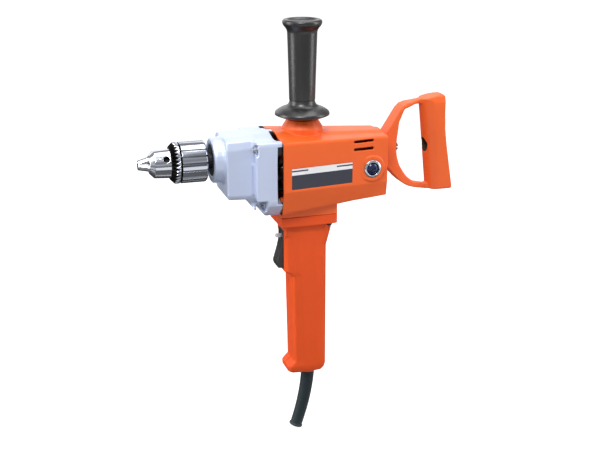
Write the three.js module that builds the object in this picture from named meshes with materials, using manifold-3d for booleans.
// A 13 mm electric drill with a key chuck, a cast gear case, a moulded motor housing, a pistol grip,
// an upright auxiliary handle and a spade handle behind.
// Lengths are millimetres, +Z is up, the chuck points along -X and the tool is alike on both sides of Y = 0.
// While it is built, X = 0 is the joint between gear case and motor housing, and Z = 0 is the spindle axis.

import * as THREE from 'three';
import { mergeVertices } from 'three/addons/utils/BufferGeometryUtils.js';
import Module from 'manifold-3d';

const wasm = await Module();
wasm.setup();

// Clearances, and how finely round things are made
const gap = 0.3;
const runningGap = 0.6;
const overrun = 3;
const weld = 0.0001;
const fineSides = 32;
const roundSides = 18;
const smallSides = 10;
const cornerSteps = 2;
const manyTeeth = 20;

// Gear train: the armature pinion drives the lay shaft, and the lay shaft drives the spindle
const firstModule = 0.75;
const firstPinionTeeth = 7;
const firstGearTeeth = 33;
const firstShiftShare = 0.4;
const secondModule = 1.25;
const secondPinionTeeth = 10;
const secondGearTeeth = 38;
const secondShiftShare = 0.2;
const pressureAngle = THREE.MathUtils.degToRad(25);
const addendumShare = 0.85;
const dedendumShare = 1.1;
const backlash = 0.12;
const firstFaceShare = 0.43;

// Where the three shafts lie below the spindle axis, from the gears that join them
const layZ = -secondModule * (secondPinionTeeth + secondGearTeeth) / 2;
const motorZ = layZ + firstModule * (firstPinionTeeth + firstGearTeeth) / 2;

// Gear case: a block round the spindle gear, a boss for the front bearing, and a wide rear flange
const caseLength = 58;
const bossLength = 12;
const bossRadius = 25;
const bossLip = 1.6;
const blockHalfWidth = 29.5;
const blockTop = 26.8;
const blockBottom = 39.8;
const blockTopCorner = 12;
const blockBottomCorner = 6;
const blockRise = 2.4;
const flangeDepth = 29;
const flangeHalfWidth = 43;
const flangeTop = 28.9;
const flangeBottom = 60;
const flangeSideTop = 25.4;
const flangeSideBottom = 46;
const flangeFoot = 30;
const flangeShoulder = 24;
const flangeCorner = 5;
const flangeRamp = 9;
const flangeWall = 5;
const windowDepth = 6;
const windowTop = 10;
const windowBottom = 44;
const caseScrewRadius = 2.5;
const caseScrewHead = 4.6;
const caseScrewHeadLength = 4;
const pocketHeight = 13;
const upperScrewZ = 17;
const lowerScrewZ = -46;
const lowerScrewInset = 0.5;
const caseScrewSink = 2;
const lowerScrewSink = 12;
const caseScrewLength = 36;
const pillarRadius = 5.5;
const flangeSlope = 14;
const gussetFootShare = 0.2;
const topWindowStart = 9;
const gearRoomGap = 1.3;
const lowRoomGap = 0.8;
const layNoseSet = 6;
const layNoseGap = 2.3;
const bulgeReach = 8;
const bulgeFoot = 7;
const bulgeHalfWidth = 27;
const bulgeCorner = 10;
const screwInset = 7;

// Bearings, as outside radius, bore radius and width
const frontBearing = { outer: 17.5, bore: 7.5, width: 11 };
const tailBush = { outer: 7.5, bore: 5, width: 12 };
const layBush = { outer: 5.5, bore: 3.5, width: 4.5 };
const layNoseBush = { outer: 5.5, bore: 3.5, width: 5 };
const motorFrontBearing = { outer: 11, bore: 4.5, width: 7 };
const motorRearBearing = { outer: 9.5, bore: 3.5, width: 6 };

// Proportions of a ball bearing and of a screw head
const raceShare = 0.27;
const shieldSinkShare = 0.1;
const screwEdgeShare = 0.5;
const screwCrownShare = 0.75;
const screwSlotShare = 0.18;
const screwSlotDepthShare = 0.45;

// Bearing bracket between the gear room and the fan
const bracketBack = 7;
const bracketPlate = 4;
const bossWall = 2.5;
const seatWall = 1.5;

// Spindle, seal and chuck
const spindleNoseRadius = 6.2;
const spindleNoseLength = 17;
const spindleCollar = 9.5;
const sealWidth = 4;
const sealOuter = 17;
const neckLength = 6;
const chuckRadius = 22.5;
const sleeveLength = 39;
const crownLength = 9;
const crownTeeth = 32;
const crownToothDepth = 1.2;
const crownRise = 4.8;
const crownSlope = 5;
const crownToothRun = 3.9;
const crownGap = 2.2;
const fluteCount = 18;
const fluteStartShare = 0.6;
const fluteWidth = 2.4;
const fluteDepth = 1.1;
const sleeveChamfer = 1.8;
const sleeveGroove = 2;
const sleeveBore = 19.6;
const noseLength = 22;
const noseRadius = 15;
const noseRootRadius = 16;
const noseChamfer = 5;
const jawRadius = 4.2;
const jawTilt = THREE.MathUtils.degToRad(16);
const jawTipRadius = 5.4;
const jawReach = 11.8;
const jawLength = 48;
const jawCount = 3;
const chuckCapacity = 13;
const keyHoleRadius = 3.5;
const keyHoleDepth = 6;
const keyHoleSetback = 4.6;
const nutLength = 5.5;
const nutSetback = 4.3;
const shankBore = 6.8;
const arborScrewRadius = 2.8;
const arborScrewHead = 4.4;
const chuckFloor = 3;
const nutClearance = 0.4;
const spindleSeat = 8.2;
const laySeat = 4.9;

// Motor: armature, fan and field
const armatureRadius = 17.5;
const airGap = 0.5;
const stackStart = 22;
const windingRun = 26.5;
const coreSlots = 12;
const coreSlotWidth = 2.2;
const coreSlotDepth = 5;
const endTurnLength = 11;
const endTurnRadius = 15.5;
const shaftRadius = 4.5;
const commutatorRadius = 12.5;
const commutatorLength = 14;
const commutatorBars = 24;
const commutatorRiser = 3;
const barGap = 0.8;
const fanRadius = 29.5;
const fanDepth = 11;
const fanDisc = 2;
const fanBlades = 11;
const fanBladeThickness = 1.6;
const fanHubRadius = 9;
const fanAhead = 5;
const statorRadius = 31;
const statorRing = 4;
const poleNeck = 8;
const poleShoe = 14;
const coilOverhang = 6;
const coilWidth = 5;
const coilHeight = 5;

// Motor housing
const housingLength = 125;
const housingWall = 3;
const housingHalfWidth = 45;
const housingSideTop = 24;
const housingShoulder = 25.2;
const housingSideBottom = 31;
const housingTop = 28.5;
const humpHalfWidth = 13;
const humpFoot = 23;
const housingBottom = 59.5;
const housingFoot = 43;
const housingCorner = 3;
const rearWidthShare = 0.63;
const rearTop = 22.6;
const rearShoulder = 19.8;
const rearBottom = 48.4;
const rearSideBottom = 32.5;
const rearWall = 5;
const blockFront = 2.5;
const blockRear = 69;
const baseHalfWidth = 24;
const baseJointZ = -66;
const baseCorner = 4;
const ribThickness = 4;
const plateStart = 9;
const plateSetback = 43;
const plateEnd = housingLength - plateSetback;
const plateTopZ = -5;
const plateBottomZ = -29;
const plateDepth = 0.8;
const ventSetback = 18;
const ventLength = 24;
const ventEnd = housingLength - ventSetback;
const ventStart = ventEnd - ventLength;
const ventHeight = 3;
const ventZs = [16.8, 8];
const seatX = 34.1;
const seatTopZ = 39.5;
const seatTopRadius = 17;
const seatFootRadius = 22.5;
const seatFootZ = 31;

// Brush gear
const brushSetback = 19.5;
const brushX = housingLength - brushSetback;
const capRadius = 7.6;
const capRing = 1.7;
const capBossRadius = 14.5;
const capBossHeight = 2;
const holderRadius = 8;
const brushWidth = 6;
const brushHeight = 9;
const brushSpringLength = 5.5;
const holderWall = 1;
const capThickness = 4;
const capSlot = 1.6;
const capRingProud = 0.6;
const capRecess = 0.6;
const capCrown = 1.2;
const capCrownShare = 0.85;
const holderInner = 14;
const brushSpringRadius = 2.2;
const brushSpringTurns = 4;
const springWire = 0.45;
const springSteps = 6;
const springWireSides = 4;

// Pistol grip, in two shells that meet at Y = 0
const gripFlangeBottomZ = -77;
const gripBack = 58.8;
const gripFlareZ = -105;
const gripFront = 18.5;
const gripFrontFoot = 20;
const gripGuardFront = 9.5;
const gripGuardBottomZ = -133;
const gripStepZ = -139;
const gripBottomZ = -259.8;
const gripToeX = 13;
const gripToeZ = -251;
const gripHalfWidth = 17.5;
const gripWall = 3;
const collarRadius = 10;
const collarLength = 3.5;
const collarWall = 1.4;
const gripFlareX = 65;
const gripNeck = 8;
const gripEase = 3.5;
const gripStepEase = 1;
const gripCornerShare = 0.3;
const gripPinWall = 2;
const gripScrewPlaces = [[48, -150], [40, -232]];
const gripScrewRadius = 1.9;
const gripScrewHead = 3.6;
const gripScrewHeadLength = 2.4;
const gripScrewLength = 24;
const gripScrewSeat = 12;
const baseScrewX = 60;
const baseScrewInset = 4.5;
const baseScrewPlaces = [-1, 1].map((side) => [baseScrewX, side * (baseHalfWidth - baseScrewInset)]);
const baseScrewRadius = 1.9;
const baseScrewHead = 3.3;
const baseScrewHeadLength = 2.4;
const baseScrewTopZ = -56;
const leadStart = 26;
const leadEnd = 50;
const leadHalfWidth = 11;

// Trigger, switch and reversing lever
const triggerPivotX = 14;
const triggerPivotZ = -87;
const triggerHalfWidth = 8.5;
const triggerToeX = 1.5;
const triggerToeZ = -124;
const triggerBottomX = 13;
const triggerBottomZ = -129.5;
const triggerPinRadius = 1.6;
const leverZ = -93;
const leverHeight = 4;
const leverWidth = 3;
const leverTipX = 2.5;
const leverPivotX = 24;
const switchBack = 52;
const switchHalfWidth = 9;
const switchTopZ = -100;
const switchBottomZ = -132;
const switchFront = 23;
const switchNeckX = 19;
const switchCheek = 5;
const triggerTopZ = -83.5;
const triggerFrontX = 8.5;
const triggerBendZ = -100;
const triggerBend = 10;
const triggerSpringZ = -116;
const triggerSpringRadius = 2.6;
const triggerSpringTurns = 4;
const springPocket = 7;
const springTravel = 5;
const pinBoss = 3.2;
const triggerRoom = 1.5;
const leverHubRadius = 3;
const leverPinRadius = 1.3;
const leverSwing = 5.6;
const leverPlay = 1.4;

// Cord guard: the rubber sleeve that leaves the grip and bends forward
const guardX = 41.2;
const guardTopRadius = 7.9;
const guardEndRadius = 7;
const guardEndX = 26;
const guardEndZ = -334;
const guardBore = 4;
const guardFlange = 9.8;
const guardRim = 1.1;
const guardFlangeLength = 2.4;
const guardBendShare = 0.45;
const guardSteps = 8;
const guardSides = 14;

// Auxiliary handle
const auxTopZ = 147.6;
const auxFlangeRadius = 21.5;
const auxGripTopRadius = 16.5;
const auxGripRadius = 14.3;
const auxBellRadius = 30;
const auxBellZ = 46;
const auxBottomZ = 39.8;
const studRadius = 5.7;
const studTopZ = 78;
const insertRadius = 9.5;
const insertBottomZ = 18.5;
const auxEdge = 1.5;
const auxBandZ = 60.8;
const auxHeadLength = 12;
const auxFlangeLength = 5.5;
const bellFootShare = 0.84;
const bellShoulderShare = 0.82;

// Spade handle
const spadeRootX = housingLength + gap;
const spadeRootTopZ = 11;
const spadeRootBottomZ = -15;
const spadeHalfRoot = 11;
const spadeHalfArm = 5;
const spadeHalfBar = 13.5;
const spadeTopZ = 59;
const spadeBottomZ = -52;
const spadeReach = 86.3;
const spadeLean = 12;
const spadeBarDepth = 27.4;
const spadeNoseDepth = 11;
const spadeBackX = spadeRootX + spadeReach;
const spadeBackTopX = spadeBackX - spadeLean;
const spadeNoseX = spadeBackX - spadeBarDepth;
const spadeHollowTopZ = 48.6;
const spadeHollowBottomZ = -45.6;
const spadeRootLength = 16;
const spadeHollowX = spadeRootX + spadeRootLength;
const accessHoleRadius = 8;
const spadeBoltZ = 0;
const spadeBoltRadius = 3;
const spadeBoltHead = 5.2;
const spadeBoltHeadLength = 5;
const spadeBoltHold = 11;
const spadeBoltEndX = housingLength - spadeBoltHold;
const spadeKneeReach = 24.5;
const spadeKneeX = spadeRootX + spadeKneeReach;
const spadeKneeTopZ = 49.5;
const spadeKneeBottomZ = -41;
const spadeHeelReach = 36;
const spadeHeelZ = -47.5;
const spadeWaistReach = 44;
const spadeCorner = 12;
const spadeHollowReach = 30;
const spadeBackWall = 3;

// Places along the spindle that several pieces share
const caseFrontX = -caseLength;
const bossFrontX = caseFrontX - bossLength;
const chuckBackX = bossFrontX - neckLength;
const sleeveFrontX = chuckBackX - sleeveLength;
const noseX = sleeveFrontX - noseLength;
const jawTipX = noseX - jawReach;
const frontBearingX = bossFrontX + sealWidth + 2 * gap;
const nutX = sleeveFrontX + nutSetback;
const capFace = housingHalfWidth * (1 - (1 - rearWidthShare) * brushX / housingLength) + capBossHeight;
const capFloor = capFace - capThickness;
const plateFrontX = -bracketBack - bracketPlate;
const shelfX = plateFrontX - gap;
const screwTipX = caseScrewLength - flangeDepth + lowerScrewSink;
const commutatorX = brushX - commutatorLength / 2;
const stackEnd = commutatorX - windingRun;
const stackLength = stackEnd - stackStart;
const bushBackX = -bracketBack - motorFrontBearing.width - gap - seatWall;
const layBossX = bushBackX - layBush.width - gap;
const layNoseX = caseFrontX + layNoseSet;
const gearRunX = layNoseX + layNoseBush.width + layNoseGap;
const gearRun = layBossX - bossWall - 2 * gap - gearRunX;
const firstFaceWidth = firstFaceShare * gearRun;
const secondFaceWidth = gearRun - firstFaceWidth;
const firstGearX = layBossX - gap - firstFaceWidth;
const tailBossX = bushBackX - tailBush.width - gap;
const secondGearX = firstGearX - bossWall - gap - secondFaceWidth;

// The object and its materials
const drill = new THREE.Group();
drill.name = 'electric_drill';

const finish = (color, roughness, metalness) => (
  new THREE.MeshStandardMaterial({ color, roughness, metalness })
);
const orangePlastic = finish('#e0561f', 0.45, 0);
const blackPlastic = finish('#1c1b1d', 0.4, 0);
const darkRubber = finish('#27343c', 0.75, 0);
const castAluminium = finish('#b4bbcc', 0.45, 0.8);
const brightSteel = finish('#c9ccd2', 0.2, 1);
const toolSteel = finish('#8d9096', 0.35, 1);
const laminated = finish('#6f7275', 0.5, 0.9);
const brassMetal = finish('#b8913f', 0.35, 1);
const copper = finish('#b4623a', 0.4, 0.8);
const carbon = finish('#262626', 0.7, 0.1);

// A closed three.js geometry as a solid that can be cut and joined
function toSolid(geometry) {
  const bare = new THREE.BufferGeometry();
  bare.setAttribute('position', geometry.getAttribute('position').clone());
  if (geometry.index) {
    bare.setIndex(geometry.index.clone());
  }
  const merged = mergeVertices(bare, weld);
  const position = merged.getAttribute('position');
  const corner = [new THREE.Vector3(), new THREE.Vector3(), new THREE.Vector3()];
  const triangles = [];
  let volume = 0;
  for (let i = 0; i < merged.index.count; i += corner.length) {
    const ids = corner.map((_, k) => merged.index.getX(i + k));
    if (new Set(ids).size === corner.length) {
      ids.forEach((id, k) => corner[k].fromBufferAttribute(position, id));
      volume += corner[0].dot(corner[1].cross(corner[2]));
      triangles.push(ids);
    }
  }
  const order = volume < 0 ? triangles.map(([a, b, c]) => [a, c, b]) : triangles;
  return new wasm.Manifold(new wasm.Mesh({
    numProp: 3,
    vertProperties: new Float32Array(position.array),
    triVerts: new Uint32Array(order.flat()),
  }));
}

// Adds a finished solid to the drill as a named piece
function piece(name, solid, material) {
  const { vertProperties, triVerts } = solid.getMesh();
  const geometry = new THREE.BufferGeometry();
  geometry.setAttribute('position', new THREE.BufferAttribute(vertProperties, 3));
  geometry.setIndex(new THREE.BufferAttribute(triVerts, 1));
  geometry.computeVertexNormals();
  const mesh = new THREE.Mesh(geometry, material);
  mesh.name = name;
  drill.add(mesh);
}

const join = (...solids) => solids.reduce((whole, next) => whole.add(next));
const cut = (solid, ...tools) => tools.reduce((whole, tool) => whole.subtract(tool), solid);

// Turns a shape drawn across one axis, and its depth, so that the depth runs along that axis
const acrossAxis = {
  x: new THREE.Matrix4().set(0, 0, 1, 0, 1, 0, 0, 0, 0, 1, 0, 0, 0, 0, 0, 1),
  y: new THREE.Matrix4().set(1, 0, 0, 0, 0, 0, 1, 0, 0, 1, 0, 0, 0, 0, 0, 1),
  z: new THREE.Matrix4(),
};

// A profile of [place along the axis, radius] pairs turned round an axis through centre
function turned(axis, profile, centre, sides = roundSides) {
  const points = profile.map(([along, radius]) => new THREE.Vector2(radius, along));
  const geometry = new THREE.LatheGeometry(points, sides);
  if (axis === 'x') {
    geometry.rotateZ(-Math.PI / 2);
  }
  if (axis === 'z') {
    geometry.rotateX(Math.PI / 2);
  }
  geometry.translate(...centre);
  return toSolid(geometry);
}

const rod = (axis, from, to, radius, centre, sides) => (
  turned(axis, [[from, 0], [from, radius], [to, radius], [to, 0]], centre, sides)
);

const ring = (axis, from, to, bore, radius, centre, sides) => (
  turned(axis, [[from, bore], [from, radius], [to, radius], [to, bore], [from, bore]], centre, sides)
);

// A closed outline of [u, v, reach] corners, where reach is how far a corner's rounding runs along its sides
function outline(corners) {
  const shape = new THREE.Shape();
  corners.forEach(([u, v, reach = 0], i) => {
    const at = new THREE.Vector2(u, v);
    const before = new THREE.Vector2(...corners.at(i - 1)).sub(at);
    const after = new THREE.Vector2(...corners[(i + 1) % corners.length]).sub(at);
    const size = Math.min(reach, before.length() / 2, after.length() / 2);
    const start = at.clone().add(before.setLength(size));
    const end = at.clone().add(after.setLength(size));
    if (i === 0) {
      shape.moveTo(start.x, start.y);
    } else {
      shape.lineTo(start.x, start.y);
    }
    if (size > 0) {
      shape.quadraticCurveTo(u, v, end.x, end.y);
    }
  });
  return shape;
}

// An outline whose left half mirrors the corners given for its right half
const symmetric = (corners) => outline([
  ...corners,
  ...corners.filter(([u]) => u > 0).reverse().map(([u, v, reach]) => [-u, v, reach]),
]);

// A plan, seen from above, whose other side mirrors the corners given for one side
const symmetricPlan = (corners) => outline([
  ...corners,
  ...corners.slice().reverse().map(([x, y, reach]) => [x, -y, reach]),
]);

// An outline carried along an axis. reshape may move each point afterwards, on as many steps as asked
function slab(axis, from, to, shape, { steps = 1, reshape } = {}) {
  const geometry = new THREE.ExtrudeGeometry(shape, {
    depth: to - from,
    steps,
    bevelEnabled: false,
    curveSegments: cornerSteps,
  });
  geometry.translate(0, 0, from);
  geometry.applyMatrix4(acrossAxis[axis]);
  if (reshape) {
    const position = geometry.getAttribute('position');
    const point = new THREE.Vector3();
    for (let i = 0; i < position.count; i += 1) {
      point.fromBufferAttribute(position, i);
      reshape(point);
      position.setXYZ(i, point.x, point.y, point.z);
    }
  }
  return toSolid(geometry);
}

function box(fromX, toX, fromY, toY, fromZ, toZ) {
  const geometry = new THREE.BoxGeometry(toX - fromX, toY - fromY, toZ - fromZ);
  geometry.translate((fromX + toX) / 2, (fromY + toY) / 2, (fromZ + toZ) / 2);
  return toSolid(geometry);
}

const around = (radius, angle) => [radius * Math.cos(angle), radius * Math.sin(angle)];

// The outline of an involute gear, with one tooth centred on the angle given by start
function gearOutline(teeth, module, shift, start) {
  const flankSteps = teeth > manyTeeth ? 1 : 2;
  const pitch = module * teeth / 2;
  const base = pitch * Math.cos(pressureAngle);
  const tip = pitch + module * (addendumShare + shift);
  const root = pitch - module * (dedendumShare - shift);
  const involute = (angle) => Math.tan(angle) - angle;
  const atPitch = (Math.PI / 2 + 2 * shift * Math.tan(pressureAngle)) / teeth - backlash / 2 / pitch;
  const halfTooth = (radius) => (
    atPitch + involute(pressureAngle) - involute(Math.acos(Math.min(1, base / radius)))
  );
  const flankStart = Math.max(root, base);
  const flank = Array.from({ length: flankSteps + 1 }, (_, k) => (
    THREE.MathUtils.lerp(flankStart, tip, k / flankSteps)));
  const feet = root < base ? [root] : [];
  const points = [];
  for (let i = 0; i < teeth; i += 1) {
    const middle = start + 2 * Math.PI * i / teeth;
    const rising = [...feet, ...flank].map((radius) => [radius, halfTooth(Math.max(radius, base))]);
    rising.forEach(([radius, half]) => points.push(around(radius, middle - half)));
    rising.reverse().forEach(([radius, half]) => points.push(around(radius, middle + half)));
  }
  return outline(points);
}

// A gear cut along X whose centre lies at height z
function gear(teeth, module, shift, start, from, to, z) {
  const geometry = new THREE.ExtrudeGeometry(gearOutline(teeth, module, shift, start), {
    depth: to - from,
    bevelEnabled: false,
  });
  geometry.translate(0, 0, from);
  geometry.applyMatrix4(acrossAxis.x);
  geometry.translate(0, 0, z);
  return toSolid(geometry);
}

const upward = Math.PI / 2;
const downward = -Math.PI / 2;
const onSpindle = [0, 0, 0];
const onLay = [0, 0, layZ];
const onMotor = [0, 0, motorZ];
const sides = [['left', -1], ['right', 1]];

// Radii that the gears need round them
const secondGearTip = secondModule * (secondGearTeeth / 2 + addendumShare - secondShiftShare);
const secondPinionTip = secondModule * (secondPinionTeeth / 2 + addendumShare + secondShiftShare);
const firstGearTip = firstModule * (firstGearTeeth / 2 + addendumShare - firstShiftShare);

// Outlines seen from the front, for the right half
const flangeOutline = (inset) => symmetric([
  [0, flangeTop - inset],
  [humpHalfWidth - inset / 2, flangeTop - inset, flangeCorner],
  [flangeShoulder - inset / 2, flangeSideTop - inset, flangeCorner],
  [flangeHalfWidth - inset, flangeSideTop - inset, flangeCorner],
  [flangeHalfWidth - inset, -flangeSideBottom + inset / 2, flangeCorner],
  [flangeFoot - inset / 2, -flangeBottom + inset, flangeCorner],
  [0, -flangeBottom + inset],
]);
const blockOutline = symmetric([
  [0, blockTop],
  [blockHalfWidth, blockTop, blockTopCorner],
  [blockHalfWidth, -blockBottom, blockBottomCorner],
  [0, -blockBottom],
]);

// Where the casing screws stand, and the pillars round them
const caseScrewPlaces = sides.flatMap(([, side]) => [
  [side * (flangeHalfWidth - screwInset), upperScrewZ, -flangeDepth + caseScrewSink],
  [side * (flangeFoot - lowerScrewInset), lowerScrewZ, -flangeDepth + lowerScrewSink],
]);
const pillars = (from, to, radius) => caseScrewPlaces.map(([y, z]) => (
  rod('x', from, to, radius, [0, y, z], smallSides)
));

function makeGearCase() {
  const depthShare = (x) => (x - caseFrontX) / caseLength;
  const block = slab('x', caseFrontX, -flangeDepth + overrun, blockOutline, {
    reshape: (point) => {
      point.z += Math.sign(point.z) * blockRise * depthShare(point.x);
    },
  });
  const frontCorner = slab('y', -blockHalfWidth - overrun, blockHalfWidth + overrun, outline([
    [caseFrontX, blockTop + flangeTop, 0],
    [0, blockTop + flangeTop, 0],
    [0, -flangeBottom, 0],
    [caseFrontX, -blockBottom, blockBottomCorner],
  ]));
  const flange = slab('x', -flangeDepth, -gap, flangeOutline(0));
  const flangeSide = slab('y', -flangeHalfWidth - overrun, flangeHalfWidth + overrun, outline([
    [-flangeDepth, flangeTop + overrun],
    [0, flangeTop + overrun],
    [0, -flangeBottom - overrun],
    [-flangeDepth + flangeSlope, -flangeBottom - overrun, flangeCorner],
    [-flangeDepth, -blockBottom, flangeCorner],
  ]));
  const boss = turned('x', [
    [caseFrontX + overrun, 0],
    [bossFrontX, 0],
    [bossFrontX, bossRadius - bossLip],
    [bossFrontX + bossLip, bossRadius],
    [caseFrontX - bossLip, bossRadius],
    [caseFrontX, bossRadius + bossLip],
    [caseFrontX + overrun, bossRadius + bossLip],
    [caseFrontX + overrun, 0],
  ], onSpindle, fineSides);
  const gussets = sides.map(([, side]) => slab('z', -blockBottom + blockBottomCorner, 0, outline([
    [-flangeDepth - flangeRamp, side * (blockHalfWidth - overrun)],
    [-flangeDepth + overrun, side * (blockHalfWidth - overrun)],
    [-flangeDepth + overrun, side * (flangeHalfWidth - screwInset / 2)],
    [-flangeDepth, side * (flangeHalfWidth - screwInset / 2)],
    [-flangeDepth - flangeRamp, side * blockHalfWidth],
  ]), {
    reshape: (point) => {
      if (point.x < -flangeDepth && point.z < 0) {
        point.x = -flangeDepth - flangeRamp * gussetFootShare;
      }
    },
  }));
  const bulgeFrontX = -flangeDepth - bulgeReach;
  const bulge = slab('x', bulgeFrontX, -flangeDepth + overrun, symmetric([
    [0, -blockBottom + 2 * overrun],
    [bulgeHalfWidth, -blockBottom + 2 * overrun],
    [bulgeHalfWidth, -flangeBottom, bulgeCorner],
    [0, -flangeBottom],
  ]));
  const bulgeSide = slab('y', -bulgeHalfWidth, bulgeHalfWidth, outline([
    [bulgeFrontX, -blockBottom + 2 * overrun],
    [0, -blockBottom + 2 * overrun],
    [0, -flangeBottom],
    [-flangeDepth + bulgeFoot, -flangeBottom, flangeCorner],
    [bulgeFrontX, -blockBottom, flangeCorner],
  ]));
  const whole = join(block.intersect(frontCorner), flange.intersect(flangeSide), bulge.intersect(bulgeSide),
    boss, ...gussets);
  const gearRoom = join(
    rod('x', secondGearX - gearRoomGap, shelfX + overrun, secondGearTip + gearRoomGap, onSpindle),
    rod('x', layNoseX + layNoseBush.width - gap, shelfX + overrun, secondPinionTip + lowRoomGap, onLay),
    rod('x', firstGearX - gearRoomGap, shelfX + overrun, firstGearTip + lowRoomGap, onLay),
    rod('x', layNoseX - gap, layNoseX + layNoseBush.width, layNoseBush.outer + gap, onLay),
  );
  const fanRoom = cut(
    slab('x', shelfX, overrun, flangeOutline(flangeWall)),
    ...pillars(shelfX - overrun, 2 * overrun, pillarRadius),
  );
  const bearingSeat = join(
    rod('x', bossFrontX - overrun, bossFrontX + gap + sealWidth, sealOuter + gap, onSpindle, fineSides),
    rod('x', bossFrontX, frontBearingX, spindleCollar + runningGap, onSpindle),
    rod('x', frontBearingX - gap, secondGearX, frontBearing.outer + gap, onSpindle, fineSides),
  );
  const windows = sides.flatMap(([, side]) => {
    const far = side * (flangeHalfWidth + overrun);
    const near = side * (flangeHalfWidth - flangeWall - overrun);
    const across = [Math.min(near, far), Math.max(near, far)];
    const topInner = side * topWindowStart;
    const topOuter = side * (flangeHalfWidth - screwInset - topWindowStart / 3);
    return [
      box(-windowDepth, overrun, ...across, -windowBottom, windowTop),
      box(-windowDepth, overrun, Math.min(topInner, topOuter), Math.max(topInner, topOuter),
        flangeSideTop - flangeWall - overrun, flangeTop + overrun),
    ];
  });
  const screwRooms = caseScrewPlaces.flatMap(([y, z, seat]) => [
    rod('x', seat, overrun, caseScrewRadius + gap, [0, y, z], smallSides),
    rod('x', -flangeDepth - flangeRamp - overrun, seat, caseScrewHead + runningGap, [0, y, z], smallSides),
    box(-flangeDepth - overrun, seat, Math.min(y, y + Math.sign(y) * flangeHalfWidth),
      Math.max(y, y + Math.sign(y) * flangeHalfWidth), z - pocketHeight / 2, z + pocketHeight / 2),
  ]);
  return cut(whole, gearRoom, fanRoom, bearingSeat, ...windows, ...screwRooms);
}

function makeBearingBracket() {
  const plate = cut(
    slab('x', plateFrontX, -bracketBack, flangeOutline(flangeWall + gap)),
    ...pillars(plateFrontX - overrun, 0, pillarRadius + gap),
  );
  const hubFrontX = bushBackX;
  const hub = rod('x', hubFrontX, -bracketBack, motorFrontBearing.outer + bossWall, onMotor);
  const tailBoss = rod('x', tailBossX, -bracketBack, tailBush.outer + bossWall, onSpindle);
  const layBoss = rod('x', layBossX, -bracketBack, layBush.outer + bossWall, onLay);
  const seatX = -bracketBack - motorFrontBearing.width - gap;
  return cut(
    join(plate, hub, tailBoss, layBoss),
    rod('x', seatX, 0, motorFrontBearing.outer + gap, onMotor),
    rod('x', layBossX - overrun, 0, shaftRadius + gap, onMotor),
    rod('x', tailBossX - overrun, bushBackX, tailBush.outer + gap, onSpindle),
    rod('x', layBossX - overrun, bushBackX, layBush.outer + gap, onLay),
  );
}

// A ball bearing: inner and outer ring with the shield sunk between them
function bearing({ outer, bore, width }, from, centre) {
  const to = from + width;
  const race = (outer - bore) * raceShare;
  const sink = width * shieldSinkShare;
  return turned('x', [
    [from, bore], [from, bore + race], [from + sink, bore + race], [from + sink, outer - race],
    [from, outer - race], [from, outer], [to, outer], [to, bore], [from, bore],
  ], centre);
}

function addGearRoom() {
  piece('gear_case', makeGearCase(), castAluminium);
  piece('bearing_bracket', makeBearingBracket(), blackPlastic);
  piece('spindle_seal', turned('x', [
    [bossFrontX + gap, spindleCollar + gap], [bossFrontX + gap, sealOuter],
    [bossFrontX + sealWidth, sealOuter], [bossFrontX + sealWidth, spindleCollar + gap],
    [bossFrontX + gap, spindleCollar + gap],
  ], onSpindle, fineSides), darkRubber);
  piece('spindle_front_bearing', bearing(frontBearing, frontBearingX, onSpindle), brightSteel);
  piece('spindle_rear_bush',
    ring('x', bushBackX - tailBush.width, bushBackX - gap, tailBush.bore, tailBush.outer, onSpindle), brassMetal);
  piece('intermediate_shaft_rear_bush',
    ring('x', bushBackX - layBush.width, bushBackX - gap, layBush.bore, layBush.outer, onLay), brassMetal);
  piece('intermediate_shaft_front_bush', ring('x', layNoseX, layNoseX + layNoseBush.width - gap,
    layNoseBush.bore, layNoseBush.outer, onLay), brassMetal);
  caseScrewPlaces.forEach(([y, z, seat], i) => {
    piece(`case_screw_${i + 1}`, screw('x', seat - gap, -1, caseScrewLength, caseScrewRadius,
      caseScrewHead, caseScrewHeadLength, [0, y, z]), toolSteel);
  });
}

// A screw along an axis: its head starts at seat and stands out in the direction given by out
function screw(axis, seat, out, length, radius, headRadius, headLength, centre) {
  const shank = [
    [seat - out * length, 0],
    [seat - out * length, radius],
    [seat, radius],
    [seat, headRadius],
    [seat + out * headLength * screwEdgeShare, headRadius],
    [seat + out * headLength, headRadius * screwCrownShare],
    [seat + out * headLength, 0],
  ];
  const whole = turned(axis, shank, centre, smallSides);
  const slotHalf = headRadius * screwSlotShare;
  const reach = [seat + out * headLength * screwSlotDepthShare, seat + out * (headLength + overrun)];
  const along = [Math.min(...reach), Math.max(...reach)];
  const spans = { x: [-headRadius, headRadius], y: [-headRadius, headRadius], z: [-slotHalf, slotHalf] };
  if (axis === 'z') {
    spans.y = [-slotHalf, slotHalf];
  }
  spans[axis] = along;
  const [cx, cy, cz] = centre;
  const slot = box(
    ...spans.x.map((v) => v + (axis === 'x' ? 0 : cx)),
    ...spans.y.map((v) => v + (axis === 'y' ? 0 : cy)),
    ...spans.z.map((v) => v + (axis === 'z' ? 0 : cz)),
  );
  return cut(whole, slot);
}

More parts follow.
